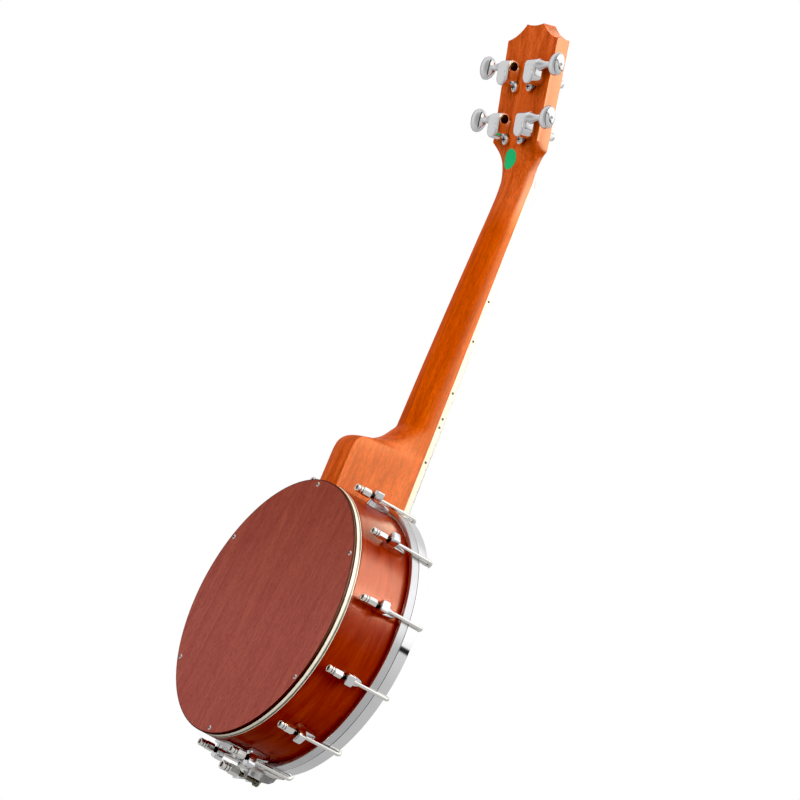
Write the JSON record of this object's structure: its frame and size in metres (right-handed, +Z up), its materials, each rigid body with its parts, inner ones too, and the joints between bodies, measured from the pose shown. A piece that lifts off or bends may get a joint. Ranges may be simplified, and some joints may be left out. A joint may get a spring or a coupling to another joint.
{
  "type": "banjo ukulele",
  "caption": "Concert banjo ukulele with a closed round wooden pot, hook-tensioned head, carved neck and heel, and geared tuners on a tilted headstock.",
  "frame": {"origin": "centre of the back plate's outer face, on the pot's axis", "axes": "+Z up the neck to the headstock, +Y out of the back, so the head and strings face -Y, and +X to the right as seen from the front"},
  "size_m": [0.22, 0.0744, 0.6008],
  "materials": {
    "rim_wood": "high-gloss lacquer over stained mahogany",
    "back_wood": "matte open-pore sapele",
    "neck_wood": "satin mahogany",
    "fingerboard": "satin rosewood with nickel frets",
    "bridge": "satin maple",
    "binding": "gloss cream",
    "nut": "polished, bone-like",
    "head_film": "frosted white film",
    "flesh_hoop": "bright",
    "tension_hoop": "polished",
    "hook_metal": "polished",
    "shoe_metal": "polished",
    "tail_metal": "polished",
    "tuner_metal": "polished",
    "button_metal": "polished",
    "dark_steel": "dark oiled",
    "rod_steel": "turned",
    "strings": "clear pale nylon"
  },
  "bodies": {
    "instrument": {"rim": "rim_wood", "back_plate": "back_wood", "back_binding": "binding", "drum_head": "head_film", "flesh_hoop": "flesh_hoop", "tension_hoop": "tension_hoop", "neck": "neck_wood", "fingerboard": "fingerboard", "string_nut": "nut", "bridge": "bridge", "tailpiece": "tail_metal", "tail_hanger": "tail_metal", "tail_bolt": "dark_steel", "tail_bolt_nut": "hook_metal", "coordinator_rod": "rod_steel", "rod_nut": "hook_metal", "string_1": "strings", "string_2": "strings", "string_3": "strings", "string_4": "strings", "shoe_1": "shoe_metal", "shoe_2": "shoe_metal", "shoe_3": "shoe_metal", "shoe_4": "shoe_metal", "shoe_5": "shoe_metal", "shoe_6": "shoe_metal", "shoe_7": "shoe_metal", "shoe_8": "shoe_metal", "shoe_9": "shoe_metal", "shoe_10": "shoe_metal", "shoe_11": "shoe_metal", "shoe_12": "shoe_metal", "hook_1": "hook_metal", "hook_2": "hook_metal", "hook_3": "hook_metal", "hook_4": "hook_metal", "hook_5": "hook_metal", "hook_6": "hook_metal", "hook_7": "hook_metal", "hook_8": "hook_metal", "hook_9": "hook_metal", "hook_10": "hook_metal", "hook_11": "hook_metal", "hook_12": "hook_metal", "tuner_housing_1": "tuner_metal", "tuner_housing_2": "tuner_metal", "tuner_housing_3": "tuner_metal", "tuner_housing_4": "tuner_metal", "tuner_bushing_1": "tuner_metal", "tuner_bushing_2": "tuner_metal", "tuner_bushing_3": "tuner_metal", "tuner_bushing_4": "tuner_metal"},
    "button_1": {"tuner_button_1": "button_metal"},
    "button_2": {"tuner_button_2": "button_metal"},
    "button_3": {"tuner_button_3": "button_metal"},
    "button_4": {"tuner_button_4": "button_metal"},
    "post_1": {"string_post_1": "tuner_metal"},
    "post_2": {"string_post_2": "tuner_metal"},
    "post_3": {"string_post_3": "tuner_metal"},
    "post_4": {"string_post_4": "tuner_metal"}
  },
  "joints": [
    {"name": "button_1_turn", "type": "hinge", "parent": "instrument", "child": "button_1", "pos_m": [0.044, -0.03313, 0.40754], "axis": [1, 0, 0], "continuous": true},
    {"name": "button_2_turn", "type": "hinge", "parent": "instrument", "child": "button_2", "pos_m": [-0.044, -0.03313, 0.40754], "axis": [-1, 0, 0], "continuous": true},
    {"name": "button_3_turn", "type": "hinge", "parent": "instrument", "child": "button_3", "pos_m": [0.044, -0.02324, 0.44578], "axis": [1, 0, 0], "continuous": true},
    {"name": "button_4_turn", "type": "hinge", "parent": "instrument", "child": "button_4", "pos_m": [-0.044, -0.02324, 0.44578], "axis": [-1, 0, 0], "continuous": true},
    {"name": "post_1_turn", "type": "hinge", "parent": "instrument", "child": "post_1", "pos_m": [0.0178, -0.04048, 0.40066], "axis": [0, 0.9681, -0.2504], "continuous": true},
    {"name": "post_2_turn", "type": "hinge", "parent": "instrument", "child": "post_2", "pos_m": [-0.0178, -0.04048, 0.40066], "axis": [0, 0.9681, -0.2504], "continuous": true},
    {"name": "post_3_turn", "type": "hinge", "parent": "instrument", "child": "post_3", "pos_m": [0.0178, -0.03059, 0.4389], "axis": [0, 0.9681, -0.2504], "continuous": true},
    {"name": "post_4_turn", "type": "hinge", "parent": "instrument", "child": "post_4", "pos_m": [-0.0178, -0.03059, 0.4389], "axis": [0, 0.9681, -0.2504], "continuous": true}
  ],
  "couplings": [
    {"joint": "post_1_turn", "follows": "button_1_turn", "ratio": -0.066667},
    {"joint": "post_2_turn", "follows": "button_2_turn", "ratio": 0.066667},
    {"joint": "post_3_turn", "follows": "button_3_turn", "ratio": -0.066667},
    {"joint": "post_4_turn", "follows": "button_4_turn", "ratio": 0.066667}
  ]
}
